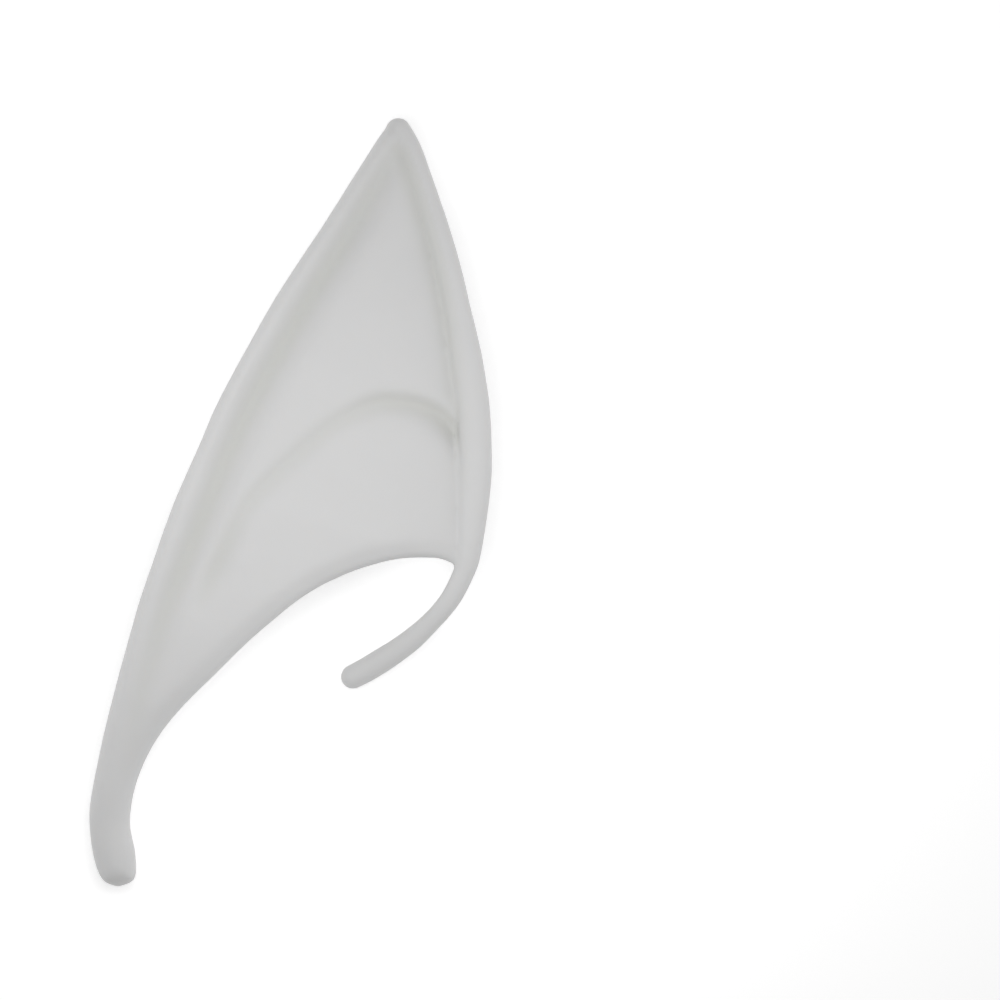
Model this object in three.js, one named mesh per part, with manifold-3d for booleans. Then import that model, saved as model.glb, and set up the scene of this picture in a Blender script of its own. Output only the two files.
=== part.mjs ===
// Slip-on pointed ear cover for a wearer's right ear: one hollow latex casting.
// It lies on its back on the table: +Y runs to the point, +Z out of the face, +X to the wearer's face.
// The origin is the middle of its footprint, at table height. Units are millimetres.
import * as THREE from "three";
import { mergeVertices } from "three/addons/utils/BufferGeometryUtils.js";
import { ParametricGeometry } from "three/addons/geometries/ParametricGeometry.js";
import Module from "manifold-3d";

// Overall size of the casting, seen from the front
const LENGTH = 110; // foot of the lobe arm to the point
const WIDTH = 57.7; // outer side of the lobe arm to the front rim

// The latex skin, and the least height of the hollow inside it
const WALL = 1.2;
const LEAST_HOLLOW = 0.05;

// Heights above the table
const RIM_HEIGHT = 10.4; // middle of the rims along the pocket
const ARM_THICKNESS = 5.9; // lobe arm, front to back

// The rolled outer rim and the groove inside it
const RIM_ROLL = 2.4; // radius of the roll on the front
const BACK_ROLL = 3.8; // radius of the roll on the back
const GROOVE_OFFSET = 3.85; // outer edge to the bottom of the groove
const GROOVE_REACH = 1.7; // how far its side runs up towards the rim
const GROOVE_INNER_REACH = 3; // and towards the face
const GROOVE_DEPTH = 1.6;

// The face between the rims, and the fold that arches across it
const FACE_HEIGHT = 2.3; // above the middle of the rims
const FACE_SINK_REACH = 5.2; // how far from the front rim the face sinks towards it
const FOLD_DEPTH = 1.3;
const FOLD_REACH = 1.6; // how far its side runs up towards the point
const FOLD_LOWER_REACH = 2.6; // and down the face

// The solid bead along the front rim, which runs on as the free strip
const BEAD_RADIUS = 2.4;
const BURIED_EDGE_ROLL = 1.4; // radius of the casting's front edge, inside the bead

// The rolled lower edge of the face, and the opening in the back
const HEM_ROLL = 2.8; // radius of the roll on the front
const LIP_ROLL = 1.5; // radius of the roll on the back
const BACK_REACH = 10; // how far from the rims the back slopes down to the table
const OUTER_FLANGE = 3.4; // latex left round the opening along the outer rim
const FRONT_FLANGE = 12; // along the front rim
const LOWER_FLANGE = 1.35; // along the lower edge
const ARM_FLANGE = 1.6; // on each side of the lobe arm
const MOUTH_MIDDLE = 0.42; // where the opening's round upper end is on its cut, as a share from the inner end

// Places along the ear, counted in rows of STATIONS
const MOUTH_STATION = 8; // the opening's upper end
const MOUTH_ROUND = 3; // how many rows that end takes to its full width
const FOOT_STATION = 18.2; // its lower end, above the foot of the arm
const FOOT_ROUND = 1.2;
const CORNER_STATION = 9; // where the front rim ends and the free lower edge begins
const HOLLOW_STATION = 1.9; // where the hollow begins, below the solid point
const HOLLOW_END_STATION = 19; // where it ends, above the solid foot

// Cuts across the ear, from the point to the foot of the lobe arm. A cut runs from the inner end (ix, iy) to the
// outer edge (ox, oy), in shares of WIDTH and LENGTH. outerRise and innerRise: height of its two ends, from 0 for
// the lobe arm to 1 for RIM_HEIGHT. rim, groove, face: shares of RIM_ROLL, GROOVE_DEPTH and FACE_HEIGHT.
// crease: height of the face where it meets the bead, above the bead's middle, as a share of BEAD_RADIUS.
const STATIONS = table("steps ox oy ix iy outerRise innerRise rim groove face crease", [
  [3, 0.750, 0.994, 0.750, 0.994, 0.50, 0.50, 0.75, 0.00, 0.60,  0.60],
  [3, 0.715, 0.970, 0.785, 0.969, 0.56, 0.56, 0.75, 0.25, 0.60,  0.50],
  [4, 0.653, 0.919, 0.827, 0.914, 0.69, 0.70, 0.80, 0.60, 0.65,  0.35],
  [4, 0.577, 0.856, 0.871, 0.838, 0.82, 0.83, 0.90, 0.85, 0.75,  0.25],
  [5, 0.495, 0.790, 0.908, 0.761, 0.92, 0.93, 0.95, 1.00, 0.90,  0.15],
  [5, 0.421, 0.725, 0.936, 0.688, 0.98, 0.99, 1.00, 1.00, 0.95,  0.00],
  [4, 0.364, 0.671, 0.953, 0.618, 1.00, 1.00, 1.00, 1.00, 1.00, -0.10],
  [4, 0.319, 0.625, 0.960, 0.548, 1.00, 1.00, 1.00, 1.00, 1.05, -0.20],
  [3, 0.287, 0.587, 0.953, 0.483, 1.00, 0.98, 1.00, 1.00, 1.10, -0.25],
  [3, 0.262, 0.558, 0.938, 0.420, 1.00, 0.95, 1.00, 1.00, 1.15, -0.30],
  [4, 0.235, 0.525, 0.861, 0.428, 0.99, 0.93, 1.00, 0.95, 1.20, -0.30],
  [5, 0.203, 0.484, 0.728, 0.422, 0.97, 0.92, 1.00, 0.90, 1.20, -0.30],
  [5, 0.166, 0.430, 0.569, 0.389, 0.92, 0.88, 1.00, 0.80, 1.20, -0.30],
  [5, 0.124, 0.364, 0.421, 0.330, 0.82, 0.78, 1.00, 0.60, 1.20, -0.30],
  [4, 0.084, 0.291, 0.292, 0.265, 0.66, 0.62, 1.00, 0.35, 1.20, -0.30],
  [3, 0.047, 0.216, 0.188, 0.206, 0.44, 0.42, 1.00, 0.10, 1.20, -0.30],
  [3, 0.015, 0.145, 0.126, 0.147, 0.22, 0.21, 1.00, 0.00, 1.20, -0.30],
  [3, 0.000, 0.091, 0.101, 0.088, 0.07, 0.07, 1.00, 0.00, 1.20, -0.30],
  [2, 0.010, 0.040, 0.115, 0.040, 0.00, 0.00, 1.00, 0.00, 1.20, -0.30],
  [3, 0.034, 0.009, 0.112, 0.010, 0.00, 0.00, 1.00, 0.00, 1.20, -0.30],
  [0, 0.072, 0.000, 0.072, 0.000, 0.00, 0.00, 1.00, 0.00, 1.20, -0.30],
]);

// The bead's middle line, from the point down the front rim and on as the free strip. radius: share of
// BEAD_RADIUS. rise: from 0 where the strip's end lies on the table to 1 for RIM_HEIGHT.
const BEAD = table("x y rise radius", [
  [0.768, 0.983, 0.52, 0.76],
  [0.797, 0.957, 0.60, 0.69],
  [0.830, 0.908, 0.71, 0.73],
  [0.874, 0.833, 0.84, 0.79],
  [0.911, 0.756, 0.94, 0.85],
  [0.939, 0.678, 0.99, 0.95],
  [0.956, 0.605, 1.00, 1.00],
  [0.959, 0.537, 1.00, 0.98],
  [0.952, 0.479, 0.98, 0.86],
  [0.944, 0.436, 0.95, 0.70],
  [0.935, 0.415, 0.91, 0.63],
  [0.898, 0.376, 0.77, 0.61],
  [0.840, 0.340, 0.52, 0.64],
  [0.772, 0.310, 0.26, 0.69],
  [0.697, 0.285, 0.07, 0.74],
  [0.654, 0.273, 0.00, 0.74],
]);

// The fold across the face, from the front rim round to the outer side. depth: share of FOLD_DEPTH.
const FOLD = table("x y depth", [
  [0.923, 0.590, 1.00],
  [0.847, 0.627, 1.00],
  [0.752, 0.638, 0.95],
  [0.636, 0.612, 0.70],
  [0.525, 0.568, 0.60],
  [0.413, 0.506, 0.50],
  [0.314, 0.439, 0.30],
  [0.252, 0.384, 0.00],
]);

// How finely the surfaces are divided
const END_STEP = 0.08; // in rows of STATIONS
const FRONT_STEPS = 30;
const BACK_STEPS = 12;
const HOLLOW_FRONT_STEPS = 16;
const HOLLOW_BACK_STEPS = 8;
const OPENING_STEPS = 10;
const BEAD_STEPS = 48;
const CAP_STEPS = 4;
const BEAD_SIDES = 12;
const CURVE_POINTS = 90;

// Rows of numbers as objects whose fields have the columns' names.
function table(columns, rows) {
  const names = columns.split(" ");
  return rows.map((row) => Object.fromEntries(row.map((number, k) => [names[k], number])));
}

const { clamp, lerp, smoothstep, smootherstep } = THREE.MathUtils;
const armRadius = ARM_THICKNESS / 2;
const bell = (distance) => Math.exp(-distance * distance);
const quarterRound = (share) => Math.sqrt(1 - (1 - clamp(share, 0, 1)) ** 2);
const planX = (share) => (share - 0.5) * WIDTH;
const planY = (share) => (share - 0.5) * LENGTH;

// A column of a table, on a smooth curve through its rows, at a place counted in rows.
function column(rows, name, place) {
  const last = rows.length - 1;
  const row = clamp(Math.floor(place), 0, last - 1);
  const [a, b, c, d] = [row - 1, row, row + 1, row + 2].map((k) => rows[clamp(k, 0, last)][name]);
  const t = clamp(place - row, 0, 1);
  const bend = (2 * a - 5 * b + 4 * c - d) * t * t + (3 * b - a - 3 * c + d) * t ** 3;
  return b + ((c - a) * t + bend) / 2;
}

// The points of a curve through two columns of a table, between two places counted in rows.
function planCurve(rows, nameX, nameY, from, to) {
  return Array.from({ length: CURVE_POINTS + 1 }, (_, k) => {
    const place = lerp(from, to, k / CURVE_POINTS);
    return new THREE.Vector2(planX(column(rows, nameX, place)), planY(column(rows, nameY, place)));
  });
}

const lastStation = STATIONS.length - 1;
const outerEdge = planCurve(STATIONS, "ox", "oy", 0, lastStation);
const frontEdge = planCurve(STATIONS, "ix", "iy", 0, CORNER_STATION);
const lowerEdge = planCurve(STATIONS, "ix", "iy", CORNER_STATION, lastStation);
const foldLine = planCurve(FOLD, "x", "y", 0, FOLD.length - 1);

// The distance from a point to a curve, how far along the curve the nearest place is, from 0 to 1, and the side.
function nearest(curve, x, y) {
  let best = { distance: Infinity };
  for (let k = 0; k < curve.length - 1; k += 1) {
    const [a, b] = [curve[k], curve[k + 1]];
    const [dx, dy] = [b.x - a.x, b.y - a.y];
    const t = clamp(((x - a.x) * dx + (y - a.y) * dy) / (dx * dx + dy * dy), 0, 1);
    const [awayX, awayY] = [x - a.x - t * dx, y - a.y - t * dy];
    const distance = Math.hypot(awayX, awayY);
    if (distance < best.distance) {
      best = { distance, along: (k + t) / (curve.length - 1), onLeft: dx * awayY > dy * awayX };
    }
  }
  return best;
}

// The smallest of some positive numbers, blended where two of them are alike.
function softLeast(...numbers) {
  const power = 4;
  const sum = numbers.reduce((total, number) => total + Math.max(number, 1e-4) ** -power, 0);
  return sum ** (-1 / power);
}

// The front and back of the solid casting at a place on a cut: across is 0 at its inner end and 1 at its outer.
function casting(station, across) {
  const value = (name) => column(STATIONS, name, station);
  const x = planX(lerp(value("ix"), value("ox"), across));
  const y = planY(lerp(value("iy"), value("oy"), across));
  const [outer, front, lower] = [outerEdge, frontEdge, lowerEdge].map((edge) => nearest(edge, x, y).distance);
  const rise = lerp(value("innerRise"), value("outerRise"), across);
  const level = lerp(armRadius, RIM_HEIGHT, rise);
  const rimShare = value("rim");
  const roll = lerp(armRadius, RIM_ROLL * rimShare, rise);
  const hem = lerp(armRadius, HEM_ROLL, rise);
  const face = lerp(armRadius, FACE_HEIGHT * value("face"), rise);
  const crease = BEAD_RADIUS * value("crease");

  const grooveOffset = GROOVE_OFFSET * rimShare;
  const grooveReach = (outer < grooveOffset ? GROOVE_REACH : GROOVE_INNER_REACH) * rimShare;
  const crest = 1 - smoothstep(outer, roll, Math.max(grooveOffset, roll + END_STEP));
  const groove = GROOVE_DEPTH * value("groove") * bell((outer - grooveOffset) / grooveReach);
  const sink = (face - crease) * Math.exp(-front / FACE_SINK_REACH);
  const nearFold = nearest(foldLine, x, y);
  const foldShare = column(FOLD, "depth", nearFold.along * (FOLD.length - 1));
  const fold = FOLD_DEPTH * foldShare * bell(nearFold.distance / (nearFold.onLeft ? FOLD_LOWER_REACH : FOLD_REACH));

  const edge = quarterRound(softLeast(outer / roll, front / BURIED_EDGE_ROLL, lower / hem, 1));
  const relief = face + (roll - face) * crest - groove - sink - fold;

  const backRoll = lerp(armRadius, BACK_ROLL, rise);
  const lip = lerp(armRadius, LIP_ROLL, rise);
  const bulge = (distance, radius) => radius * quarterRound(distance / radius);
  const depth = Math.min(bulge(outer, backRoll), bulge(front, backRoll), bulge(lower, lip));
  const slope = [outer, front, lower].reduce((share, d) => share * smootherstep(d, 0, BACK_REACH), 1);
  return {
    x,
    y,
    outer,
    front,
    lower,
    level,
    top: level + edge * relief,
    bottom: (level - depth) * (1 - slope),
  };
}

// The place on a cut, searched from one of its ends, where the casting first passes a test of its distances.
function whereInside(station, from, to, test) {
  let [outside, inside] = [from, to];
  if (!test(casting(station, to))) return to;
  for (let k = 0; k < 18; k += 1) {
    const middle = (outside + inside) / 2;
    if (test(casting(station, middle))) inside = middle;
    else outside = middle;
  }
  return inside;
}

// The places at which a surface between two stations is divided: each row of the table into its own steps, and one
// short step at each end to round it.
function divisions(from, to) {
  const places = STATIONS.flatMap(({ steps }, row) => Array.from({ length: steps }, (_, k) => row + k / steps));
  const inner = places.filter((place) => place > from + 2 * END_STEP && place < to - 2 * END_STEP);
  return [from, from + END_STEP, ...inner, to - END_STEP, to];
}

// A closed surface swept over the stations, with poles at both ends. ring(station, u) gives its points. The rings
// are walked backwards, so that the triangles' long sides run with the fold; solidOf turns the triangles over.
function sweptGeometry(from, to, sides, ring) {
  const places = divisions(from, to);
  const stacks = places.length - 1;
  return new ParametricGeometry(
    (u, v, target) => target.copy(ring(places[Math.round(v * stacks)], u === 0 ? 0 : 1 - u)),
    sides,
    stacks,
  );
}

// Divides a ring into a front run from the inner end to the outer and a back run the other way.
function ringPlace(u, frontSteps, backSteps) {
  const step = u * (frontSteps + backSteps);
  const onFront = step < frontSteps;
  const share = onFront ? step / frontSteps : 1 - (step - frontSteps) / backSteps;
  return { onFront, across: (1 - Math.cos(Math.PI * share)) / 2 };
}

function castingGeometry() {
  return sweptGeometry(0, lastStation, FRONT_STEPS + BACK_STEPS, (station, u) => {
    const { onFront, across } = ringPlace(u, FRONT_STEPS, BACK_STEPS);
    const skin = casting(station, across);
    return new THREE.Vector3(skin.x, skin.y, onFront ? skin.top : skin.bottom);
  });
}

// The hollow keeps WALL to the outside, and stays off the solid bead.
const hollowInset = { outer: WALL, front: BEAD_RADIUS, lower: WALL };

function hollowSpan(station) {
  const clear = (skin) => Object.keys(hollowInset).every((side) => skin[side] > hollowInset[side]);
  return [whereInside(station, 0, 0.5, clear), whereInside(station, 1, 0.5, clear)];
}

function hollowGeometry() {
  const sides = HOLLOW_FRONT_STEPS + HOLLOW_BACK_STEPS;
  const spans = new Map();
  return sweptGeometry(HOLLOW_STATION, HOLLOW_END_STATION, sides, (station, u) => {
    if (!spans.has(station)) spans.set(station, hollowSpan(station));
    const [low, high] = spans.get(station);
    const atPole = station === HOLLOW_STATION || station === HOLLOW_END_STATION;
    const { onFront, across } = ringPlace(u, HOLLOW_FRONT_STEPS, HOLLOW_BACK_STEPS);
    const skin = casting(station, atPole ? (low + high) / 2 : lerp(low, high, across));
    const middle = (skin.top + skin.bottom) / 2;
    const gap = Math.max(skin.top - skin.bottom - 2 * WALL, LEAST_HOLLOW) / 2;
    const clearance = Math.min(...Object.keys(hollowInset).map((side) => skin[side] - hollowInset[side]));
    const half = atPole ? 0 : gap * quarterRound(clearance / WALL);
    return new THREE.Vector3(skin.x, skin.y, middle + (onFront ? half : -half));
  });
}

// What the opening in the back takes away: everything from under the table up to the middle of the hollow.
function openingGeometry() {
  const run = OPENING_STEPS + 1;
  const spans = new Map();
  return sweptGeometry(MOUTH_STATION, FOOT_STATION, 2 * run, (station, u) => {
    if (!spans.has(station)) spans.set(station, openingSpan(station));
    const [low, high] = spans.get(station);
    const step = Math.round(u * 2 * run) % (2 * run);
    const onTop = step < run;
    const share = (onTop ? step : 2 * run - 1 - step) / OPENING_STEPS;
    const skin = casting(station, lerp(low, high, share));
    return new THREE.Vector3(skin.x, skin.y, onTop ? (skin.top + skin.bottom) / 2 : -1);
  });
}

function openingSpan(station) {
  const rise = column(STATIONS, "outerRise", station);
  const outerFlange = lerp(ARM_FLANGE, OUTER_FLANGE, rise);
  const lowerFlange = lerp(ARM_FLANGE, LOWER_FLANGE, rise);
  const clear = (skin) => skin.outer > outerFlange && skin.lower > lowerFlange && skin.front > FRONT_FLANGE;
  const [low, high] = [whereInside(station, 0, 0.5, clear), whereInside(station, 1, 0.5, clear)];
  const mouth = quarterRound((station - MOUTH_STATION) / MOUTH_ROUND);
  const foot = quarterRound((FOOT_STATION - station) / FOOT_ROUND);
  const middle = lerp(low, high, MOUTH_MIDDLE);
  return [lerp(middle, low, mouth * foot), lerp(middle, high, mouth * foot)];
}

// The bead is a round bar along its middle line with a half ball at each end.
function beadGeometry() {
  const last = BEAD.length - 1;
  const middle = (place) => {
    const height = lerp(BEAD_RADIUS * BEAD[last].radius, RIM_HEIGHT, column(BEAD, "rise", place));
    return new THREE.Vector3(planX(column(BEAD, "x", place)), planY(column(BEAD, "y", place)), height);
  };
  const line = new THREE.CatmullRomCurve3(Array.from({ length: 4 * last + 1 }, (_, k) => middle(k / 4)));
  const stacks = BEAD_STEPS + 2 * CAP_STEPS;
  return new ParametricGeometry(
    (u, v, target) => {
      const step = Math.round(v * stacks);
      const share = clamp((step - CAP_STEPS) / BEAD_STEPS, 0, 1);
      const place = share * last;
      const past = (step - CAP_STEPS - share * BEAD_STEPS) / CAP_STEPS;
      const radius = BEAD_RADIUS * column(BEAD, "radius", place);
      const tangent = line.getTangent(share);
      const side = new THREE.Vector3(0, 0, 1).cross(tangent).normalize();
      const up = tangent.clone().cross(side);
      const turn = -(Math.round(u * BEAD_SIDES) % BEAD_SIDES) * ((2 * Math.PI) / BEAD_SIDES);
      const around = radius * Math.cos((past * Math.PI) / 2);
      target
        .copy(line.getPoint(share))
        .addScaledVector(tangent, radius * Math.sin((past * Math.PI) / 2))
        .addScaledVector(side, around * Math.cos(turn))
        .addScaledVector(up, around * Math.sin(turn));
    },
    BEAD_SIDES,
    stacks,
  );
}

const material = new THREE.MeshStandardMaterial({ color: 0xd2d2cf, roughness: 0.6, metalness: 0 });

const wasm = await Module();
wasm.setup();

// A closed three.js geometry as a solid that can be joined and cut.
function solidOf(geometry) {
  const bare = new THREE.BufferGeometry();
  bare.setAttribute("position", geometry.getAttribute("position"));
  bare.setIndex(geometry.index);
  const merged = mergeVertices(bare, 1e-4);
  const corners = merged.index.array;
  const triangles = [];
  for (let k = 0; k < corners.length; k += 3) {
    const [a, b, c] = [corners[k], corners[k + 1], corners[k + 2]];
    if (a !== b && b !== c && c !== a) triangles.push(a, c, b);
  }
  return new wasm.Manifold(
    new wasm.Mesh({
      numProp: 3,
      vertProperties: new Float32Array(merged.attributes.position.array),
      triVerts: new Uint32Array(triangles),
    }),
  );
}

const outside = solidOf(castingGeometry());
const hollow = solidOf(hollowGeometry());
const opening = solidOf(openingGeometry());
const bead = solidOf(beadGeometry());
const shell = outside.subtract(hollow).subtract(opening).add(bead);
const out = shell.getMesh();
const geometry = new THREE.BufferGeometry();
geometry.setAttribute("position", new THREE.BufferAttribute(new Float32Array(out.vertProperties), 3));
geometry.setIndex(new THREE.BufferAttribute(new Uint32Array(out.triVerts), 1));

const group = new THREE.Group();
const cover = new THREE.Mesh(geometry, material);
cover.name = "ear_shell";
group.add(cover);
export default group;
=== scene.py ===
"""A pointed latex ear cover for a wearer's right ear, lying on its back on a pale table.

The casting is modelled again at a fine pitch over the CAD node ear_shell: its rolled rims, the
groove inside them, the fold across the face, the bead along the front rim with its free strip,
the hollow and the opening in the back. Lengths are metres, in the CAD model's own frame: +Y runs
to the point, +Z out of the face.
"""

import bmesh
import bpy
import numpy as np
from bpy.props import FloatProperty, FloatVectorProperty, IntProperty, PointerProperty
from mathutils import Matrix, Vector, noise


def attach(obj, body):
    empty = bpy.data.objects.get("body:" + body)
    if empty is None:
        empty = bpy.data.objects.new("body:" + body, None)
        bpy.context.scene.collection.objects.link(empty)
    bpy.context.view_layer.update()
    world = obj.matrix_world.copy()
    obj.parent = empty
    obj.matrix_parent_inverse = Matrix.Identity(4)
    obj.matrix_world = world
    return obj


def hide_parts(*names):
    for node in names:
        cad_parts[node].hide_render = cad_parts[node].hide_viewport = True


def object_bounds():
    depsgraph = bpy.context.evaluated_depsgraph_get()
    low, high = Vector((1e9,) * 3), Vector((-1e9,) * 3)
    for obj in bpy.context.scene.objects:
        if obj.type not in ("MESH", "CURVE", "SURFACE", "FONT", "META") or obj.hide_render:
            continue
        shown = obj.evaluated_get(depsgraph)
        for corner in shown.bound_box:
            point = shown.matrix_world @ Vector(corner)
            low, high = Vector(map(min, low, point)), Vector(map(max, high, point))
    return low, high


bl_info = {
    "name": "Pointed ear cover",
    "version": (1, 0, 0),
    "blender": (4, 5, 0),
    "location": "3D View > Sidebar > Ear cover",
    "description": "A hollow latex cover for an ear, with a point, rolled rims and a free strip",
    "category": "Add Mesh",
}

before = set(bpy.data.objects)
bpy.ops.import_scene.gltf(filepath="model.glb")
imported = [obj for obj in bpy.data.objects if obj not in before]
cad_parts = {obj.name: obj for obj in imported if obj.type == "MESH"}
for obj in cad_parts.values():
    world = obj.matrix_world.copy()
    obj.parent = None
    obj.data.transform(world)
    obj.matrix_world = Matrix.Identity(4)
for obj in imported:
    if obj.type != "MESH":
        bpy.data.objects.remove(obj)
cad_low, cad_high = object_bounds()

MM = 0.001

# The photograph's frame
IMAGE_PIXELS = 1000
PIXELS_PER_MM = 7.0
PIXEL_OF_ORIGIN = (290.0, 502.5)  # where the middle of the footprint is in the photograph


def table(columns, rows):
    """Rows of numbers as a dict of numpy columns with these names."""
    return dict(zip(columns.split(), np.array(rows, float).T))


# Cuts across the ear, from the point to the foot of the lobe arm. A cut runs from its inner end
# (ix, iy) to the outer edge (ox, oy), in shares of the width and length. outer_rise, inner_rise:
# height of its two ends, from 0 for the lobe arm to 1 for the rims' height. rim, groove, face:
# shares of the rim's roll, the groove's depth and the face's height. crease: height of the face
# where it meets the bead, as a share of the bead's radius. run: how much of the mesh lies between
# this row and the next.
STATIONS = table("run ox oy ix iy outer_rise inner_rise rim groove face crease", [
    [3, 0.750, 0.994, 0.750, 0.994, 0.50, 0.50, 0.75, 0.00, 0.60,  0.60],
    [3, 0.715, 0.970, 0.785, 0.969, 0.56, 0.56, 0.75, 0.40, 0.60,  0.38],
    [4, 0.653, 0.919, 0.827, 0.914, 0.69, 0.70, 0.80, 0.70, 0.65,  0.05],
    [4, 0.577, 0.856, 0.871, 0.838, 0.82, 0.83, 0.90, 0.90, 0.75, -0.12],
    [5, 0.495, 0.790, 0.908, 0.761, 0.92, 0.93, 0.95, 1.00, 0.90, -0.08],
    [5, 0.421, 0.725, 0.936, 0.688, 0.98, 0.99, 1.00, 1.00, 0.95,  0.06],
    [4, 0.364, 0.671, 0.953, 0.618, 1.00, 1.00, 1.00, 1.00, 1.00,  0.16],
    [4, 0.319, 0.625, 0.960, 0.548, 1.00, 1.00, 1.00, 1.00, 1.05,  0.22],
    [3, 0.287, 0.587, 0.953, 0.483, 1.00, 0.98, 1.00, 1.00, 1.10,  0.22],
    [3, 0.262, 0.558, 0.938, 0.420, 1.00, 0.95, 1.00, 1.00, 1.15,  0.18],
    [4, 0.235, 0.525, 0.861, 0.428, 0.99, 0.945, 1.04, 1.00, 1.20,  0.12],
    [5, 0.203, 0.484, 0.728, 0.422, 0.97, 0.92, 1.05, 1.00, 1.20,  0.05],
    [5, 0.166, 0.430, 0.569, 0.389, 0.92, 0.88, 1.00, 0.92, 1.20,  0.05],
    [5, 0.124, 0.364, 0.421, 0.330, 0.82, 0.78, 0.92, 0.72, 1.20,  0.05],
    [4, 0.084, 0.291, 0.292, 0.265, 0.66, 0.62, 0.90, 0.48, 1.20,  0.05],
    [3, 0.047, 0.216, 0.188, 0.206, 0.44, 0.42, 0.90, 0.25, 1.20,  0.05],
    [3, 0.015, 0.145, 0.126, 0.147, 0.22, 0.21, 1.00, 0.00, 1.20,  0.05],
    [3, 0.000, 0.091, 0.101, 0.088, 0.07, 0.07, 1.00, 0.00, 1.20,  0.05],
    [2, 0.010, 0.040, 0.115, 0.040, 0.00, 0.00, 1.00, 0.00, 1.20,  0.05],
    [3, 0.034, 0.009, 0.112, 0.010, 0.00, 0.00, 1.00, 0.00, 1.20,  0.05],
    [0, 0.072, 0.000, 0.072, 0.000, 0.00, 0.00, 1.00, 0.00, 1.20,  0.05],
])

# The bead's middle line, from the point down the front rim and on as the free strip. radius:
# share of the bead's radius. rise: from 0 where the strip's end lies on the table to 1 for the
# rims' height.
BEAD = table("x y rise radius", [
    [0.768, 0.983, 0.52, 0.76],
    [0.799, 0.957, 0.60, 0.66],
    [0.833, 0.909, 0.71, 0.65],
    [0.877, 0.834, 0.84, 0.71],
    [0.913, 0.756, 0.94, 0.80],
    [0.939, 0.678, 0.99, 0.95],
    [0.956, 0.605, 1.00, 1.00],
    [0.959, 0.537, 1.00, 0.98],
    [0.952, 0.479, 0.98, 0.86],
    [0.944, 0.436, 0.95, 0.70],
    [0.935, 0.415, 0.91, 0.63],
    [0.898, 0.376, 0.77, 0.61],
    [0.840, 0.340, 0.52, 0.64],
    [0.772, 0.310, 0.26, 0.69],
    [0.697, 0.285, 0.07, 0.74],
    [0.654, 0.273, 0.00, 0.74],
])

# The fold across the face, from the front rim round to the outer side. depth: share of the
# fold's depth.
FOLD = table("x y depth", [
    [0.924, 0.583, 1.10],
    [0.885, 0.605, 1.20],
    [0.860, 0.616, 1.10],
    [0.815, 0.626, 1.00],
    [0.769, 0.630, 0.92],
    [0.729, 0.630, 0.86],
    [0.694, 0.625, 0.75],
    [0.655, 0.615, 0.58],
    [0.611, 0.602, 0.53],
    [0.565, 0.583, 0.52],
    [0.521, 0.562, 0.52],
    [0.474, 0.540, 0.52],
    [0.427, 0.515, 0.52],
    [0.386, 0.488, 0.54],
    [0.359, 0.461, 0.62],
    [0.335, 0.434, 0.72],
    [0.310, 0.405, 0.65],
    [0.288, 0.378, 0.35],
    [0.268, 0.351, 0.00],
])

# Places counted in rows of STATIONS
LAST_STATION = len(STATIONS["run"]) - 1
CORNER_STATION = 9  # where the front rim ends and the free lower edge begins
HOLLOW_STATIONS = (1.9, 19.0)  # where the hollow begins and ends
OPENING_STATIONS = (8.0, 18.2)  # where the opening in the back begins and ends
OPENING_ROUNDS = (3.0, 1.2)  # how many rows its two ends take to their full width
MOUTH_MIDDLE = 0.42  # where its round upper end is on a cut, as a share from the inner end

# Places counted in rows of FOLD and BEAD
LAST_FOLD_ROW = len(FOLD["depth"]) - 1
LAST_BEAD_ROW = len(BEAD["radius"]) - 1
CREASE_TINT_AND_SHADE_STARTS = (0, 1)  # where the painted shade and warmer tint in the crease beside the bead set in
CREASE_TINT_AND_SHADE_FADES = (3, 9)  # and where it fades

# How finely the casting's parts are divided before they are fused
CURVE_POINTS = 120
BEAD_LINE_POINTS = 960
FACE_GRID = (150, 300)
BACK_GRID = (90, 300)
HOLLOW_GRID = (60, 160)
OPENING_GRID = (30, 100)
BEAD_SPHERE = (40, 300)
BEAD_CAP_SHARE = 0.04  # how much of the bead's mesh makes each round end
SEARCH_STEPS = 18  # halvings in the search for an outline on a cut
JOIN_WITHIN = 0.001 * MM  # how near each other the sheets' corners are joined
COLLAPSE_UNDER = 0.0005 * MM  # edges shorter than this are taken out

BEAD_FLATNESS = 0.7  # how much squarer than a circle the bead is where the rims are highest
UNDER_TABLE = -1 * MM  # where the cutter of the opening ends
MOUTH_PASSES = 20  # smoothing of the opening's edges
FRONT_SLOPE = 0.3  # upward part of the normal from which a place is fully on the front

# The poured surface's wander: two layers of noise, with their wavelengths in mm
SWELL_LENGTH = 11
RIPPLE_LENGTH = 4.2
RIPPLE_SHARE = 0.45
RIPPLE_SHIFT = Vector((17, 5, 3))
STILL_HEIGHT = 2 * MM  # below this height the surface wanders less, to lie on the table

SIDE_LIGHT_PLACE = (0.25, 0.1)  # how far to the side and towards the point each side light is


def length_of(name, description, default):
    """A length among the driving sizes."""
    return FloatProperty(
        name=name, description=description, default=default, unit="LENGTH", precision=5
    )


def colour_of(name, description, default):
    """A colour with its alpha."""
    return FloatVectorProperty(
        name=name, description=description, default=default, size=4, subtype="COLOR", min=0, max=1
    )


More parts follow.
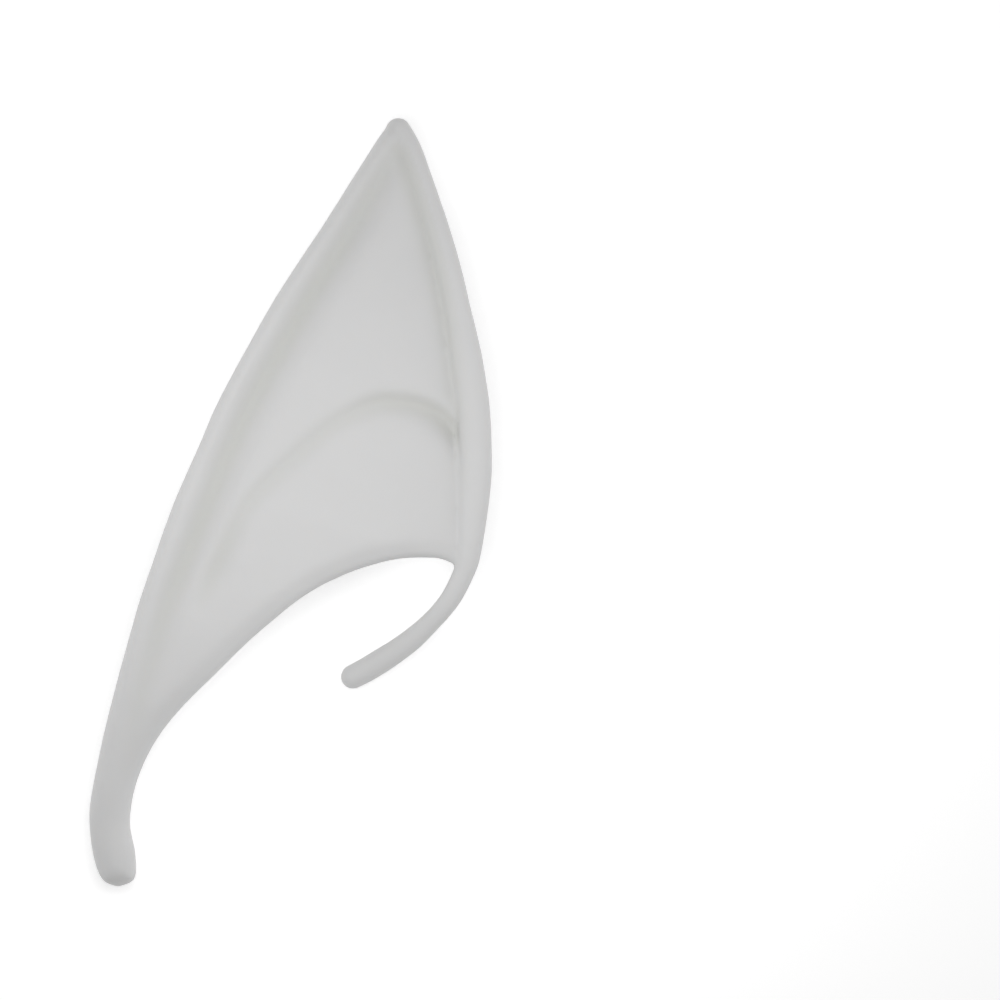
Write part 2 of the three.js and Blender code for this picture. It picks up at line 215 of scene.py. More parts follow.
class EarCoverShape(bpy.types.PropertyGroup):
    """The casting's driving sizes."""

    length: length_of("Length", "Foot of the lobe arm to the point", 110 * MM)
    width: length_of("Width", "Outer side of the lobe arm to the front rim", 57.7 * MM)
    wall: length_of("Wall", "Thickness of the latex skin", 1.2 * MM)
    rim_height: length_of("Rim height", "Middle of the rims above the table", 10.4 * MM)
    arm_thickness: length_of("Arm thickness", "Lobe arm, front to back", 5.9 * MM)
    rim_roll: length_of("Rim roll", "Radius of the outer rim on the front", 2.4 * MM)
    back_roll: length_of("Back roll", "Radius of the rims on the back", 3.8 * MM)
    groove_offset: length_of("Groove offset", "Outer edge to the bottom of the groove", 4.4 * MM)
    groove_depth: length_of("Groove depth", "Depth of the groove inside the rim", 1.45 * MM)
    face_height: length_of("Face height", "Face above the middle of the rims", 2.3 * MM)
    fold_depth: length_of("Fold depth", "Depth of the fold across the face", 0.9 * MM)
    bead_radius: length_of("Bead radius", "Bead along the front rim", 2.4 * MM)
    hem_roll: length_of("Hem roll", "How far the face slopes down to its lower edge", 3.1 * MM)
    lip_roll: length_of("Lip roll", "Radius of the lower edge on the back", 1.5 * MM)
    pitch: length_of("Mesh pitch", "Size of the faces of the fused casting", 0.38 * MM)
    soft_passes: IntProperty(
        name="Softening", description="Passes that round the fused creases", default=3
    )
    unevenness: length_of("Unevenness", "How far the hand-poured surface wanders", 0.12 * MM)


class EarCoverLatex(bpy.types.PropertyGroup):
    """The latex's colours and surface."""

    skin: colour_of("Latex", "The bare rubber", (0.590, 0.590, 0.590, 1))
    bloom: colour_of("Bloom", "The paler dusting of powder on high places", (0.602, 0.602, 0.602, 1))
    # Painted shade: the crevice colour is darker than the latex and stands in for the shade in the
    # grooves, the fold and the crease by the bead, together with the rubber's own warmer tint there
    crevice_tint_and_shade: colour_of(
        "Crevice", "The warmer, darker rubber in grooves and folds", (0.544, 0.546, 0.527, 1)
    )
    roughness: FloatProperty(
        name="Roughness", description="How matt the rubber is", default=0.56, subtype="FACTOR"
    )


class EarCoverStage(bpy.types.PropertyGroup):
    """The table, the lights and the camera."""

    floor: colour_of("Table", "Colour of the table", (0.90, 0.90, 0.90, 1))
    glow: FloatProperty(
        name="Table glow", description="Light that the white table passes up", default=0.335
    )
    tent: FloatProperty(
        name="Light tent", description="Brightness of the white tent all round", default=0.436
    )
    softbox: FloatProperty(
        name="Softbox", description="Power of the light overhead", default=0.083, unit="POWER"
    )
    softbox_size: FloatProperty(
        name="Softbox size", description="Diameter of the light overhead", default=0.13, unit="LENGTH"
    )
    softbox_height: FloatProperty(
        name="Softbox height", description="Light above the table", default=0.12, unit="LENGTH"
    )
    sides: FloatProperty(
        name="Side lights", description="Power of each side light", default=0.14, unit="POWER"
    )
    sides_size: FloatProperty(
        name="Side light size", description="Their diameter", default=0.2, unit="LENGTH"
    )
    sides_height: FloatProperty(
        name="Side light height",
        description="Their middles above the table",
        default=0.09,
        unit="LENGTH",
    )
    distance: FloatProperty(
        name="Camera distance", description="Camera above the table", default=1.4, unit="LENGTH"
    )


def smooth(x, low, high, top=False):
    """A curve from 0 at low to 1 at high, level at both ends; top makes its ends flatter."""
    t = np.clip((x - low) / (high - low), 0, 1)
    return t**3 * (t * (t * 6 - 15) + 10) if top else t * t * (3 - 2 * t)


def between(a, b, share):
    return a + (b - a) * share


def bell(distance):
    return np.exp(-distance * distance)


def eased(share):
    """Shares from 0 to 1, drawn towards both ends."""
    return (1 - np.cos(np.pi * share)) / 2


def quarter_round(share):
    """The height of a quarter circle that starts upright at 0 and is level from 1 on."""
    return np.sqrt(1 - (1 - np.clip(share, 0, 1)) ** 2)


def soft_least(*numbers, power=4):
    """The smallest of some positive numbers, blended where two of them are alike."""
    return sum(np.maximum(number, 1e-4) ** -power for number in numbers) ** (-1 / power)


def rounded_least(a, b, reach):
    """The smaller of two numbers, rounded off where they differ by less than reach."""
    return np.minimum(a, b) - np.maximum(reach - np.abs(a - b), 0) ** 2 / (4 * reach)


def column(rows, name, place):
    """A column of a table, on a smooth curve through its rows, at places counted in rows."""
    values = rows[name]
    last = len(values) - 1
    place = np.asarray(place, float)
    row = np.clip(np.floor(place).astype(int), 0, last - 1)
    a, b, c, d = (values[np.clip(row + k, 0, last)] for k in (-1, 0, 1, 2))
    t = np.clip(place - row, 0, 1)
    bend = (2 * a - 5 * b + 4 * c - d) * t**2 + (3 * b - a - 3 * c + d) * t**3
    return b + ((c - a) * t + bend) / 2


def nearest(curve, x, y):
    """How far points are from a curve, how far along it they are, and whether on its left."""
    distance = np.full(x.shape, np.inf)
    along = np.zeros(x.shape)
    on_left = np.zeros(x.shape, bool)
    for k, (a, b) in enumerate(zip(curve[:-1], curve[1:])):
        dx, dy = b - a
        t = np.clip(((x - a[0]) * dx + (y - a[1]) * dy) / (dx * dx + dy * dy), 0, 1)
        away_x, away_y = x - a[0] - t * dx, y - a[1] - t * dy
        found = np.hypot(away_x, away_y)
        closer = found < distance
        distance[closer] = found[closer]
        along[closer] = (k + t[closer]) / (len(curve) - 1)
        on_left[closer] = (dx * away_y > dy * away_x)[closer]
    return distance, along, on_left


class Casting:
    """The solid casting's front and back, as functions of a place on a cut."""

    groove_reach = (1.9 * MM, 2.8 * MM)  # how far the groove's sides run, to the rim and the face
    fold_reach = (1.2 * MM, 2.0 * MM)  # how far the fold's sides run, to the point and the foot
    least_crest = 0.08 * MM  # least distance in which the rim's crest falls
    tint_and_shade_reach = 1.5 * MM  # how far the painted shade and warmer tint of the crevices spread
    bead_tint_and_shade_edge = (-0.3 * MM, 0.1 * MM)  # where the fold's painted shade and tint set in beside the bead
    crease_tint_and_shade = 0.85  # how much painted shade and tint there is in the crease beside the bead
    face_sink_reach = 6.5 * MM  # how far from the front rim the face sinks towards it
    face_sink_share = 0.22  # and the most of a cut's length
    hem_edge = 0.9 * MM  # radius of the lower edge's own corner
    hem_slope_share = 0.36  # how much of the lower edge's height is a slope and not that corner
    rim_corner = 1.5 * MM  # how far in the outer rim reaches its full height
    buried_roll = 1.4 * MM  # radius of the casting's front edge, inside the bead
    back_corner = 1.4 * MM  # how softly the rims' back turns into the back's slope
    least_rise = 0.01  # keeps that softness above nothing on the lobe arm
    back_reach = 10 * MM  # how far from the rims the back slopes down to the table
    outer_flange = 3.4 * MM  # latex left round the opening along the outer rim
    front_flange = 12 * MM  # along the front rim
    lower_flange = 1.35 * MM  # along the lower edge
    arm_flange = 1.6 * MM  # on each side of the lobe arm
    least_hollow = 0.05 * MM
    mouth_reach = 1.5 * MM  # how far from the opening's outline its edges are rounded

    def __init__(self, sizes):
        self.sizes = sizes
        self.arm_radius = sizes.arm_thickness / 2
        self.outer_edge = self.plan_curve(STATIONS, "ox", "oy", 0, LAST_STATION)
        self.front_edge = self.plan_curve(STATIONS, "ix", "iy", 0, CORNER_STATION)
        self.lower_edge = self.plan_curve(STATIONS, "ix", "iy", CORNER_STATION, LAST_STATION)
        self.fold_line = self.plan_curve(FOLD, "x", "y", 0, LAST_FOLD_ROW)
        self.bead_line = self.plan_curve(BEAD, "x", "y", 0, LAST_BEAD_ROW)

    def plan(self, share_x, share_y):
        return (share_x - 0.5) * self.sizes.width, (share_y - 0.5) * self.sizes.length

    def plan_curve(self, rows, name_x, name_y, start, end):
        places = np.linspace(start, end, CURVE_POINTS + 1)
        x, y = self.plan(column(rows, name_x, places), column(rows, name_y, places))
        return np.stack([x, y], axis=1)

    def skin(self, station, across):
        """The front and back at places across a cut: 0 is its inner end and 1 its outer."""
        row = {name: column(STATIONS, name, station) for name in STATIONS}
        share_x = between(row["ix"], row["ox"], across)
        share_y = between(row["iy"], row["oy"], across)
        x, y = self.plan(share_x, share_y)
        edges = (self.outer_edge, self.front_edge, self.lower_edge)
        away = [nearest(edge, x, y)[0] for edge in edges]
        rise = between(row["inner_rise"], row["outer_rise"], across)
        level = between(self.arm_radius, self.sizes.rim_height, rise)
        slope = np.prod([smooth(d, 0, self.back_reach, top=True) for d in away], axis=0)
        return {
            "x": x,
            "y": y,
            "outer": away[0],
            "front": away[1],
            "lower": away[2],
            "top": level + self.front_relief(row, rise, x, y, away),
            "bottom": (level - self.back_depth(rise, away)) * (1 - slope),
        }

    def front_relief(self, row, rise, x, y, away):
        """How far the front stands above the middle of the rims."""
        sizes = self.sizes
        outer, front, lower = away
        roll = between(self.arm_radius, sizes.rim_roll * row["rim"], rise)
        face = between(self.arm_radius, sizes.face_height * row["face"], rise)
        crease = sizes.bead_radius * row["crease"]

        groove_offset = sizes.groove_offset * row["rim"]
        groove_reach = np.where(outer < groove_offset, *self.groove_reach) * row["rim"]
        crest_end = np.maximum(groove_offset, roll + self.least_crest)
        crest = 1 - smooth(outer, roll / 2, crest_end)
        groove = sizes.groove_depth * row["groove"] * bell((outer - groove_offset) / groove_reach)

        cut_x = (row["ox"] - row["ix"]) * sizes.width
        cut_y = (row["oy"] - row["iy"]) * sizes.length
        sink_reach = self.face_sink_share * np.hypot(cut_x, cut_y)
        sink = (face - crease) * np.exp(-front / np.clip(sink_reach, MM, self.face_sink_reach))

        fold_distance, along, on_left = nearest(self.fold_line, x, y)
        fold_share = column(FOLD, "depth", along * LAST_FOLD_ROW)
        fold_reach = np.where(on_left, self.fold_reach[1], self.fold_reach[0])
        fold = sizes.fold_depth * fold_share * bell(fold_distance / fold_reach)

        corner = between(self.arm_radius, self.rim_corner * row["rim"], rise)
        hem = self.hem_share(lower, rise)
        inside = soft_least(outer / corner, front / self.buried_roll, hem, np.ones_like(x))
        return quarter_round(inside) * (face + (roll - face) * crest - groove - sink - fold)

    def hem_share(self, lower, rise):
        """How far up the lower edge's roll a place is: 0 at its border and 1 or more on the face."""
        corner = quarter_round(lower / self.hem_edge)
        height = between(corner, smooth(lower, 0, self.sizes.hem_roll), self.hem_slope_share)
        height = between(quarter_round(lower / self.arm_radius), height, rise)
        inset = 1 - np.sqrt(np.clip(1 - height**2, 0, 1))
        return inset + np.maximum(lower / self.sizes.hem_roll - 1, 0)

    def back_depth(self, rise, away):
        """How far the back lies below the middle of the rims, before its slope to the table."""
        outer, front, lower = away
        back_roll = between(self.arm_radius, self.sizes.back_roll, rise)
        lip = between(self.arm_radius, self.sizes.lip_roll, rise)
        rims = back_roll * quarter_round(np.minimum(outer, front) / back_roll)
        softness = self.back_corner * np.maximum(rise, self.least_rise)
        return rounded_least(rims, lip * quarter_round(lower / lip), softness)

    def where_inside(self, stations, start, end, clear):
        """The places on cuts, searched from one of their ends, where the casting first passes a test."""
        outside = np.full(stations.shape, float(start))
        inside = np.full(stations.shape, float(end))
        for _ in range(SEARCH_STEPS):
            middle = (outside + inside) / 2
            passed = clear(self.skin(stations, middle))
            inside = np.where(passed, middle, inside)
            outside = np.where(passed, outside, middle)
        any_passed = clear(self.skin(stations, np.full(stations.shape, float(end))))
        return np.where(any_passed, inside, end)

    def span(self, stations, clear):
        """The inner and outer end of what passes a test on each cut."""
        cuts, which = np.unique(stations, return_inverse=True)
        ends = (self.where_inside(cuts, end, 0.5, lambda skin: clear(skin, cuts)) for end in (0, 1))
        return [end[which] for end in ends]

    def hollow_clearance(self, skin):
        """How far inside the hollow's outline a place is, which leaves out the solid bead."""
        sizes = self.sizes
        return np.minimum.reduce([
            skin["outer"] - sizes.wall, skin["front"] - sizes.bead_radius, skin["lower"] - sizes.wall
        ])

    def hollow_span(self, stations):
        return self.span(stations, lambda skin, cuts: self.hollow_clearance(skin) > 0)

    def opening_span(self, stations):
        def clear(skin, cuts):
            rise = column(STATIONS, "outer_rise", cuts)
            off_outer = skin["outer"] > between(self.arm_flange, self.outer_flange, rise)
            off_lower = skin["lower"] > between(self.arm_flange, self.lower_flange, rise)
            return off_outer & off_lower & (skin["front"] > self.front_flange)

        low, high = self.span(stations, clear)
        width = quarter_round((stations - OPENING_STATIONS[0]) / OPENING_ROUNDS[0])
        width = width * quarter_round((OPENING_STATIONS[1] - stations) / OPENING_ROUNDS[1])
        middle = between(low, high, MOUTH_MIDDLE)
        return between(middle, low, width), between(middle, high, width)


    def mouth_line(self):
        """The opening's outline: up its inner side and back down its outer side."""
        stations = np.linspace(*OPENING_STATIONS, CURVE_POINTS + 1)
        sides = []
        for across in self.opening_span(stations):
            skin = self.skin(stations, across)
            sides.append(np.stack([skin["x"], skin["y"]], axis=1))
        return np.concatenate([sides[0], sides[1][::-1]])


def stations_along(share, start, end):
    """Places from start to end, spread by the table's runs and closer together at both ends."""
    runs = np.concatenate([[0], np.cumsum(STATIONS["run"][:-1])])
    low, high = np.interp((start, end), np.arange(len(runs)), runs)
    spread = between(share, eased(share), 0.5)
    return np.interp(between(low, high, spread), runs, np.arange(len(runs)))


def on_border(*shares):
    """Whether any of these shares is 0 or 1."""
    return np.any([(share < 1e-6) | (share > 1 - 1e-6) for share in shares], axis=0)


def add_sheet(bm, grid, place):
    """Adds a grid moved to where place puts its two coordinates, each from 0 to 1."""
    sheet = bmesh.ops.create_grid(bm, x_segments=grid[0], y_segments=grid[1], size=0.5)
    corners = sheet["verts"]
    flat = np.array([corner.co for corner in corners]) + 0.5
    for corner, spot in zip(corners, place(flat[:, 0], flat[:, 1])):
        corner.co = spot


def close_up(bm):
    """Joins sheets that meet along their borders into one closed solid that faces outwards."""
    bmesh.ops.remove_doubles(bm, verts=bm.verts, dist=JOIN_WITHIN)
    bmesh.ops.dissolve_degenerate(bm, edges=bm.edges, dist=COLLAPSE_UNDER)
    bmesh.ops.recalc_face_normals(bm, faces=bm.faces)


def as_object(bm, name):
    mesh = bpy.data.meshes.new(name)
    bm.to_mesh(mesh)
    bm.free()
    made = bpy.data.objects.new(name, mesh)
    bpy.context.scene.collection.objects.link(made)
    return made


def casting_solid(casting):
    """The outside of the casting as one solid."""
    bm = bmesh.new()
    for grid, side in ((FACE_GRID, "top"), (BACK_GRID, "bottom")):
        def place(u, v, side=side):
            skin = casting.skin(stations_along(v, 0, LAST_STATION), eased(u))
            z = np.where(on_border(u, v), skin["bottom"], skin[side])
            return np.stack([skin["x"], skin["y"], z], axis=1)

        add_sheet(bm, grid, place)
    close_up(bm)
    return as_object(bm, "casting_solid")


def hollow_solid(casting):
    """The hollow, which keeps a wall's thickness to the outside."""
    wall = casting.sizes.wall
    bm = bmesh.new()
    for side in (1, -1):
        def place(u, v, side=side):
            stations = stations_along(v, *HOLLOW_STATIONS)
            low, high = casting.hollow_span(stations)
            across = np.where(on_border(v), (low + high) / 2, between(low, high, eased(u)))
            skin = casting.skin(stations, across)
            gap = np.maximum(skin["top"] - skin["bottom"] - 2 * wall, casting.least_hollow) / 2
            half = gap * quarter_round(casting.hollow_clearance(skin) / wall)
            half = np.where(on_border(u, v), 0, half)
            z = (skin["top"] + skin["bottom"]) / 2 + side * half
            return np.stack([skin["x"], skin["y"], z], axis=1)

        add_sheet(bm, HOLLOW_GRID, place)
    close_up(bm)
    return as_object(bm, "hollow_solid")


def opening_solid(casting):
    """What the opening in the back takes away, from under the table up to the middle of the hollow."""
    bm = bmesh.new()

    def place(u, v):
        stations = stations_along(v, *OPENING_STATIONS)
        low, high = casting.opening_span(stations)
        skin = casting.skin(stations, between(low, high, u))
        return np.stack([skin["x"], skin["y"], (skin["top"] + skin["bottom"]) / 2], axis=1)

    add_sheet(bm, OPENING_GRID, place)
    bmesh.ops.remove_doubles(bm, verts=bm.verts, dist=JOIN_WITHIN)
    walls = bmesh.ops.extrude_face_region(bm, geom=bm.faces[:])["geom"]
    for item in walls:
        if isinstance(item, bmesh.types.BMVert):
            item.co.z = UNDER_TABLE
    close_up(bm)
    return as_object(bm, "opening_solid")


def bead_solid(casting):
    """The bead: a ball drawn out along its middle line into a bar with round ends."""
    sizes = casting.sizes
    places = np.linspace(0, LAST_BEAD_ROW, BEAD_LINE_POINTS)
    x, y = casting.plan(column(BEAD, "x", places), column(BEAD, "y", places))
    foot = sizes.bead_radius * BEAD["radius"][-1]
    line = np.stack([x, y, between(foot, sizes.rim_height, column(BEAD, "rise", places))], axis=1)
    length = np.concatenate([[0], np.cumsum(np.linalg.norm(np.diff(line, axis=0), axis=1))])
    heading = np.gradient(line, axis=0)
    heading /= np.linalg.norm(heading, axis=1)[:, None]
    radius = sizes.bead_radius * column(BEAD, "radius", places)

    bm = bmesh.new()
    segments, rings = BEAD_SPHERE
    sphere = bmesh.ops.create_uvsphere(bm, u_segments=segments, v_segments=rings, radius=1)
    corners = sphere["verts"]
    ball = np.array([corner.co for corner in corners])
    down = np.arccos(np.clip(ball[:, 2], -1, 1)) / np.pi
    turn = np.arctan2(ball[:, 1], ball[:, 0])
    share = np.clip((down - BEAD_CAP_SHARE) / (1 - 2 * BEAD_CAP_SHARE), 0, 1)
    past_end = np.maximum(down - 1 + BEAD_CAP_SHARE, 0)
    past = np.where(down < BEAD_CAP_SHARE, down - BEAD_CAP_SHARE, past_end)
    past = past / BEAD_CAP_SHARE * np.pi / 2
    travelled = share * length[-1]
    middle, ahead = (
        np.stack([np.interp(travelled, length, values[:, k]) for k in range(3)], axis=1)
        for values in (line, heading)
    )
    here = np.interp(travelled, length, radius)
    side = np.cross((0, 0, 1), ahead)
    side /= np.linalg.norm(side, axis=1)[:, None]
    up = np.cross(ahead, side)
    around = here * np.cos(past)
    rise = np.interp(travelled, length, column(BEAD, "rise", places))
    squareness = 2 / (2 + BEAD_FLATNESS * rise)
    level_part, upright_part = (
        np.sign(part) * np.abs(part) ** squareness for part in (np.cos(turn), np.sin(turn))
    )
    spots = middle + ahead * (here * np.sin(past))[:, None]
    spots += side * (around * level_part)[:, None] + up * (around * upright_part)[:, None]
    for corner, spot in zip(corners, spots):
        corner.co = spot
    close_up(bm)
    return as_object(bm, "bead_solid")


def add_modifier(piece, kind, name, **settings):
    modifier = piece.modifiers.new(name, kind)
    for key, value in settings.items():
        setattr(modifier, key, value)


def apply_modifiers(piece):
    bpy.context.view_layer.update()
    evaluated = piece.evaluated_get(bpy.context.evaluated_depsgraph_get())
    finished = bpy.data.meshes.new_from_object(evaluated)
    piece.modifiers.clear()
    piece.data = finished


def places_and_normals(mesh):
    """The mesh's vertices and their normals as two arrays."""
    places = np.zeros((len(mesh.vertices), 3))
    normals = np.zeros((len(mesh.vertices), 3))
    mesh.vertices.foreach_get("co", places.ravel())
    mesh.vertex_normals.foreach_get("vector", normals.ravel())
    return places, normals


def roughen(mesh, height):
    """Lets a poured surface wander a little, in broad swells and finer ripples."""
    places, normals = places_and_normals(mesh)
    spots = [Vector(place) / MM for place in places]
    swell = [
        noise.noise(spot / SWELL_LENGTH)
        + RIPPLE_SHARE * noise.noise(spot / RIPPLE_LENGTH + RIPPLE_SHIFT)
        for spot in spots
    ]
    off_table = smooth(places[:, 2], 0, STILL_HEIGHT)
    places += normals * (np.array(swell) * off_table * height)[:, None]
    mesh.vertices.foreach_set("co", places.ravel())
    mesh.update()


def round_mouth(mesh, casting):
    """Rounds the opening's edges, which the fused mesh leaves ragged."""
    places, normals = places_and_normals(mesh)
    away, _, _ = nearest(casting.mouth_line(), places[:, 0], places[:, 1])
    share = 1 - smooth(away, casting.mouth_reach / 2, casting.mouth_reach)
    share = share * (1 - smooth(normals[:, 2], 0, FRONT_SLOPE))
    bm = bmesh.new()
    bm.from_mesh(mesh)
    corners = [corner for corner, near in zip(bm.verts, share > 0) if near]
    for _ in range(MOUTH_PASSES):
        bmesh.ops.smooth_vert(
            bm, verts=corners, factor=0.5, use_axis_x=True, use_axis_y=True, use_axis_z=True
        )
    rounded = np.array([corner.co for corner in bm.verts])
    bm.free()
    mesh.vertices.foreach_set("co", between(places, rounded, share[:, None]).ravel())
    mesh.update()


def mark_crevice_tint_and_shade(mesh, casting):
    """Stores how near the front is to the bottom of the groove, the fold or the bead's crease, as the
    mask for the painted shade and warmer tint there.
    """
    sizes = casting.sizes
    places, normals = places_and_normals(mesh)
    x, y = places[:, 0], places[:, 1]
    away, along, _ = nearest(casting.outer_edge, x, y)
    station = along * LAST_STATION
    away = away - sizes.groove_offset * column(STATIONS, "rim", station)
    groove = column(STATIONS, "groove", station) * bell(away / casting.tint_and_shade_reach)
    away, along, _ = nearest(casting.fold_line, x, y)
    fold = column(FOLD, "depth", along * LAST_FOLD_ROW) * bell(away / casting.tint_and_shade_reach)
    away, along, beyond = nearest(casting.bead_line, x, y)
    row = along * LAST_BEAD_ROW
    away = away - sizes.bead_radius * column(BEAD, "radius", row)
    stretch = smooth(row, *CREASE_TINT_AND_SHADE_STARTS) - smooth(row, *CREASE_TINT_AND_SHADE_FADES)
    crease = casting.crease_tint_and_shade * stretch * bell(away / casting.tint_and_shade_reach) * ~beyond
    off_bead = smooth(away, *casting.bead_tint_and_shade_edge)
    on_front = smooth(normals[:, 2], 0, FRONT_SLOPE)
    # The mask of painted shade, with the rubber's warmer tint, in the grooves, the fold and the bead's
    # crease
    stored = mesh.attributes.new("crevice_tint_and_shade", "FLOAT", "POINT")
    shade_and_tint = np.maximum.reduce([groove, fold * off_bead, crease]) * on_front
    stored.data.foreach_set("value", shade_and_tint.astype(np.float32))


def new_material(name):
    material = bpy.data.materials.new(name)
    material.use_nodes = True
    nodes = material.node_tree.nodes
    return material, material.node_tree, nodes["Principled BSDF"]


def latex_material(look):
    """Matt foam-pale latex: a paler powder bloom in random patches, painted shade with a warmer tint in
    the grooves, the fold and the bead's crease, and fine pores.
    """
    material, tree, shader = new_material("pale_latex")
    nodes, link = tree.nodes, tree.links.new
    place = nodes.new("ShaderNodeTexCoord").outputs["Object"]

    def noise_of(scale, detail, roughness=0.5):
        made = nodes.new("ShaderNodeTexNoise")
        made.inputs["Scale"].default_value = scale
        made.inputs["Detail"].default_value = detail
        made.inputs["Roughness"].default_value = roughness
        link(place, made.inputs["Vector"])
        return made.outputs["Fac"]

    def ranged(value, low, high, to_low, to_high):
        made = nodes.new("ShaderNodeMapRange")
        made.inputs["From Min"].default_value = low
        made.inputs["From Max"].default_value = high
        made.inputs["To Min"].default_value = to_low
        made.inputs["To Max"].default_value = to_high
        link(value, made.inputs["Value"])
        return made.outputs["Result"]

    def mixed(share, a, b):
        made = nodes.new("ShaderNodeMix")
        made.data_type = "RGBA"
        link(share, made.inputs["Factor"])
        for key, colour in (("A", a), ("B", b)):
            socket = next(s for s in made.inputs if s.name == key and s.type == "RGBA")
            if isinstance(colour, bpy.types.NodeSocket):
                link(colour, socket)
            else:
                socket.default_value = colour
        return next(s for s in made.outputs if s.type == "RGBA")

    crevice_tint_and_shade = nodes.new("ShaderNodeAttribute")
    crevice_tint_and_shade.attribute_name = "crevice_tint_and_shade"
    cloudy = ranged(noise_of(scale=130, detail=3), 0.3, 0.7, 0, 1)
    bare = mixed(cloudy, look.skin, look.bloom)
    # Painted shade: the stored mask darkens and warms the grooves, the fold and the bead's crease
    coloured = mixed(crevice_tint_and_shade.outputs["Fac"], bare, look.crevice_tint_and_shade)
    link(coloured, shader.inputs["Base Color"])
    roughness = ranged(cloudy, 0, 1, look.roughness - 0.05, look.roughness + 0.05)
    link(roughness, shader.inputs["Roughness"])

    pores = nodes.new("ShaderNodeBump")
    pores.inputs["Strength"].default_value = 0.25
    pores.inputs["Distance"].default_value = 0.03 * MM
    link(noise_of(scale=5200, detail=3, roughness=0.6), pores.inputs["Height"])
    link(pores.outputs["Normal"], shader.inputs["Normal"])
    shader.inputs["Specular IOR Level"].default_value = 0.35
    shader.inputs["Subsurface Weight"].default_value = 0.12
    shader.inputs["Subsurface Radius"].default_value = (1.0, 0.85, 0.7)
    shader.inputs["Subsurface Scale"].default_value = 1.2 * MM
    return material


def floor_material(colour, glow):
    material, _, shader = new_material("matt_table")
    shader.inputs["Base Color"].default_value = colour
    shader.inputs["Emission Color"].default_value = (1, 1, 1, 1)
    shader.inputs["Emission Strength"].default_value = glow
    shader.inputs["Roughness"].default_value = 0.9
    shader.inputs["Specular IOR Level"].default_value = 0.1
    return material


class EARCOVER_OT_casting(bpy.types.Operator):
    """Build the hollow latex casting with its bead, over the CAD node ear_shell"""

    bl_idname = "earcover.casting"
    bl_label = "Latex casting"
    bl_options = {"REGISTER", "UNDO"}

    def execute(self, context):
        sizes = context.scene.ear_cover_shape
        casting = Casting(sizes)
        cover = casting_solid(casting)
        tools = [bead_solid(casting), hollow_solid(casting), opening_solid(casting)]
        for tool, operation in zip(tools, ("UNION", "DIFFERENCE", "DIFFERENCE")):
            add_modifier(
                cover, "BOOLEAN", tool.name, operation=operation, object=tool, solver="MANIFOLD"
            )
        add_modifier(
            cover, "REMESH", "fuse", mode="VOXEL", voxel_size=sizes.pitch, use_smooth_shade=True
        )
        add_modifier(cover, "SMOOTH", "soften", factor=0.5, iterations=sizes.soft_passes)
        apply_modifiers(cover)
        for tool in tools:
            bpy.data.objects.remove(tool)
        if not cover.data.polygons:
            raise RuntimeError("the casting came out empty")
        round_mouth(cover.data, casting)
        roughen(cover.data, sizes.unevenness)
        mark_crevice_tint_and_shade(cover.data, casting)
        cover.data.shade_smooth()
        cover.name = cover.data.name = "latex_casting"
        cover.data.materials.clear()
        cover.data.materials.append(latex_material(context.scene.ear_cover_latex))
        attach(cover, "root")
        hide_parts("ear_shell")
        return {"FINISHED"}


def add_softbox(name, power, size, place):
    light = bpy.data.lights.new(name, "AREA")
    light.energy = power
    light.shape = "DISK"
    light.size = size
    made = bpy.data.objects.new(name, light)
    made.location = place
    made.rotation_euler = (-Vector(place)).to_track_quat("-Z", "Y").to_euler()
    made.visible_camera = False
    bpy.context.scene.collection.objects.link(made)


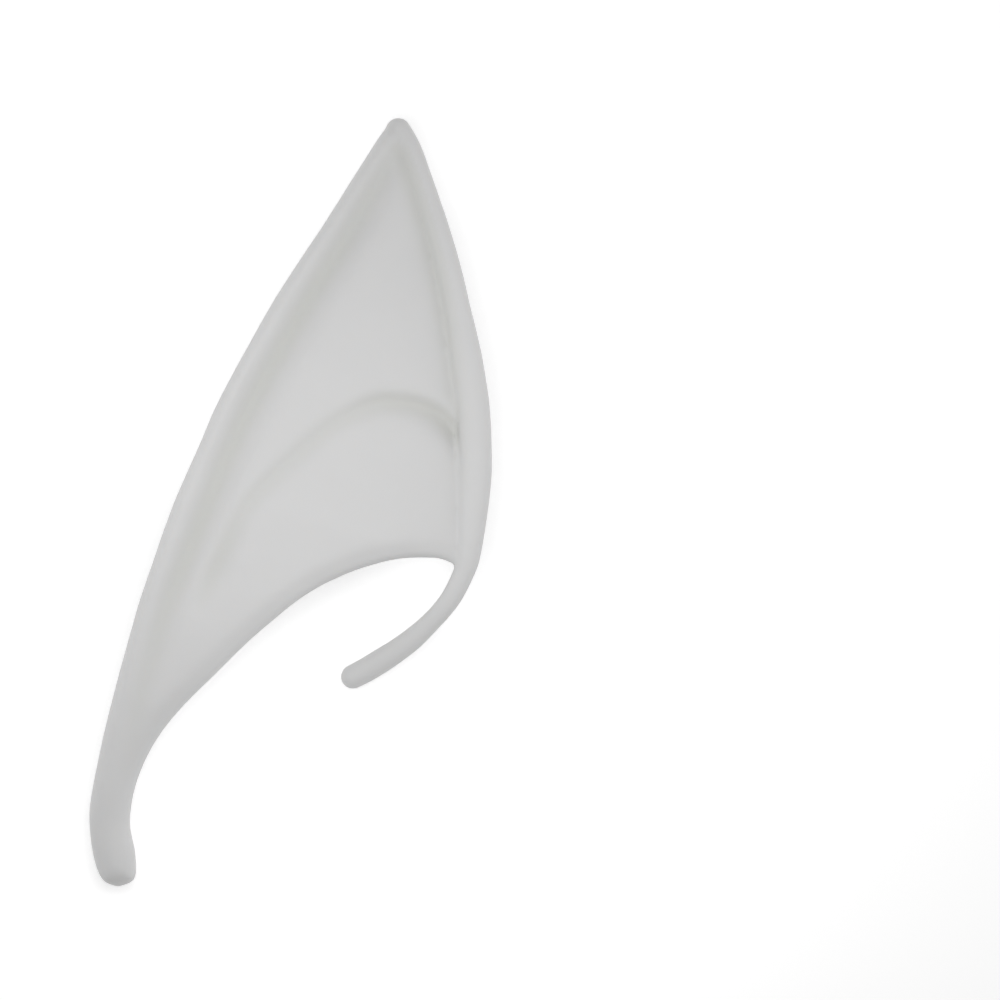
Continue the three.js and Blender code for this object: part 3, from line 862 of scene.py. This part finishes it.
class EARCOVER_OT_stage(bpy.types.Operator):
    """Lay the pale table, hang the lights and set the camera straight above, as in the photograph"""

    bl_idname = "earcover.stage"
    bl_label = "Table, lights and camera"
    bl_options = {"REGISTER", "UNDO"}

    def execute(self, context):
        scene = context.scene
        look = scene.ear_cover_stage
        bm = bmesh.new()
        bmesh.ops.create_grid(bm, x_segments=2, y_segments=2, size=2.0)
        table_top = as_object(bm, "table")
        table_top.data.materials.append(floor_material(look.floor, look.glow))

        world = bpy.data.worlds.new("light_tent")
        world.use_nodes = True
        tent = world.node_tree.nodes["Background"]
        tent.inputs["Color"].default_value = (1, 1, 1, 1)
        tent.inputs["Strength"].default_value = look.tent
        scene.world = world
        add_softbox("overhead", look.softbox, look.softbox_size, (0, 0, look.softbox_height))
        aside, onward = SIDE_LIGHT_PLACE
        for side, way in (("left", -1), ("right", 1)):
            place = (aside * way, onward, look.sides_height)
            add_softbox(side + "_side", look.sides, look.sides_size, place)

        origin_x, origin_y = PIXEL_OF_ORIGIN
        middle = IMAGE_PIXELS / 2
        camera = bpy.data.cameras.new("camera")
        camera.sensor_width = 36.0
        frame_width = IMAGE_PIXELS / PIXELS_PER_MM * MM
        height = (cad_low.z + cad_high.z) / 2
        camera.lens = camera.sensor_width * (look.distance - height) / frame_width
        camera.clip_start = 0.1
        camera.clip_end = 10
        eye = bpy.data.objects.new("camera", camera)
        across = (middle - origin_x) / PIXELS_PER_MM * MM
        up = (origin_y - middle) / PIXELS_PER_MM * MM
        eye.location = (across, up, look.distance)
        scene.collection.objects.link(eye)
        scene.camera = eye
        scene.view_settings.view_transform = "Standard"
        return {"FINISHED"}


class EARCOVER_PT_panel(bpy.types.Panel):
    """The ear cover's sizes, colours and building steps"""

    bl_idname = "EARCOVER_PT_panel"
    bl_label = "Ear cover"
    bl_space_type = "VIEW_3D"
    bl_region_type = "UI"
    bl_category = "Ear cover"

    def draw(self, context):
        steps = (
            (EARCOVER_OT_casting, ("shape", "latex")),
            (EARCOVER_OT_stage, ("stage",)),
        )
        for step, groups in steps:
            box = self.layout.box()
            for group in groups:
                settings = getattr(context.scene, "ear_cover_" + group)
                for name in settings.__annotations__:
                    box.prop(settings, name)
            box.operator(step.bl_idname)


SETTINGS = {
    "ear_cover_shape": EarCoverShape,
    "ear_cover_latex": EarCoverLatex,
    "ear_cover_stage": EarCoverStage,
}
CLASSES = (*SETTINGS.values(), EARCOVER_OT_casting, EARCOVER_OT_stage, EARCOVER_PT_panel)


def register():
    for cls in CLASSES:
        bpy.utils.register_class(cls)
    for name, group in SETTINGS.items():
        setattr(bpy.types.Scene, name, PointerProperty(type=group))


def unregister():
    for name in SETTINGS:
        delattr(bpy.types.Scene, name)
    for cls in reversed(CLASSES):
        bpy.utils.unregister_class(cls)


def main():
    register()
    bpy.ops.earcover.casting()
    bpy.ops.earcover.stage()


if __name__ == "__main__":
    main()
